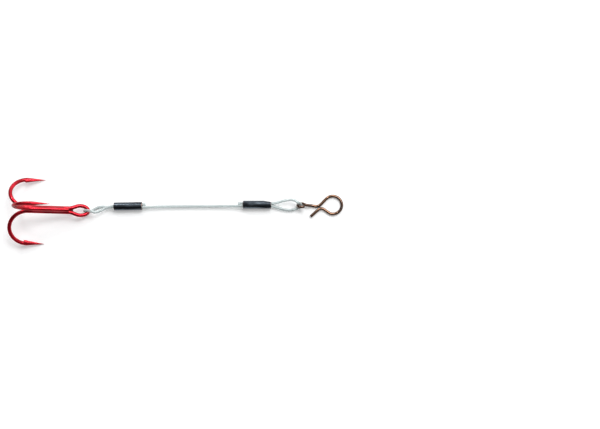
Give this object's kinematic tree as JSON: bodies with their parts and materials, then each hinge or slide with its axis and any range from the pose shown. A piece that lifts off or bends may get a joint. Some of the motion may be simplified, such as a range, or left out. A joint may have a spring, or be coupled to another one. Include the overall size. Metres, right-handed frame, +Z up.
{
  "type": "treble hook rig",
  "caption": "Barbed treble hook on a short crimped nylon leader, with a wire quick-change clip at its other end.",
  "frame": {"origin": "on the surface that the rig lies on, under the middle of the box round the hook and the clip", "axes": "+X from the treble hook to the clip, +Z up from the surface, +Y across"},
  "size_m": [0.0826, 0.017, 0.015],
  "materials": {
    "hook_lacquer": "clear red lacquer over bright steel wire",
    "braze_lacquer": "red lacquer over brazing metal",
    "leader_nylon": "clear single-strand nylon",
    "black_sleeve": "black oxidised, satin",
    "clip_wire": "bronze-brown plated spring wire"
  },
  "bodies": {
    "hook_side": {"leader_hook_side": "leader_nylon", "hook_crimp": "black_sleeve"},
    "treble": {"double_hook": "hook_lacquer", "single_hook": "hook_lacquer", "braze_joint": "braze_lacquer"},
    "clip_side": {"leader_clip_side": "leader_nylon", "clip_crimp": "black_sleeve"},
    "clip": {"quick_clip": "clip_wire"}
  },
  "joints": [
    {"name": "treble_swing", "type": "hinge", "parent": "hook_side", "child": "treble", "pos_m": [-0.02219, 0.00014, 0.00128], "axis": [-0.0105, 0.9999, 0], "range_deg": [-95, 75]},
    {"name": "leader_bend", "type": "hinge", "parent": "hook_side", "child": "clip_side", "pos_m": [0.0039, 0.00136, 0.0007], "axis": [0, 0, 1], "range_deg": [-45, 45], "stiffness_Nm_per_rad": 0.00094},
    {"name": "clip_swing", "type": "hinge", "parent": "clip_side", "child": "clip", "pos_m": [0.02995, 0.00157, 0.00107], "axis": [0, -0.6018, 0.7986], "range_deg": [-90, 90]}
  ]
}
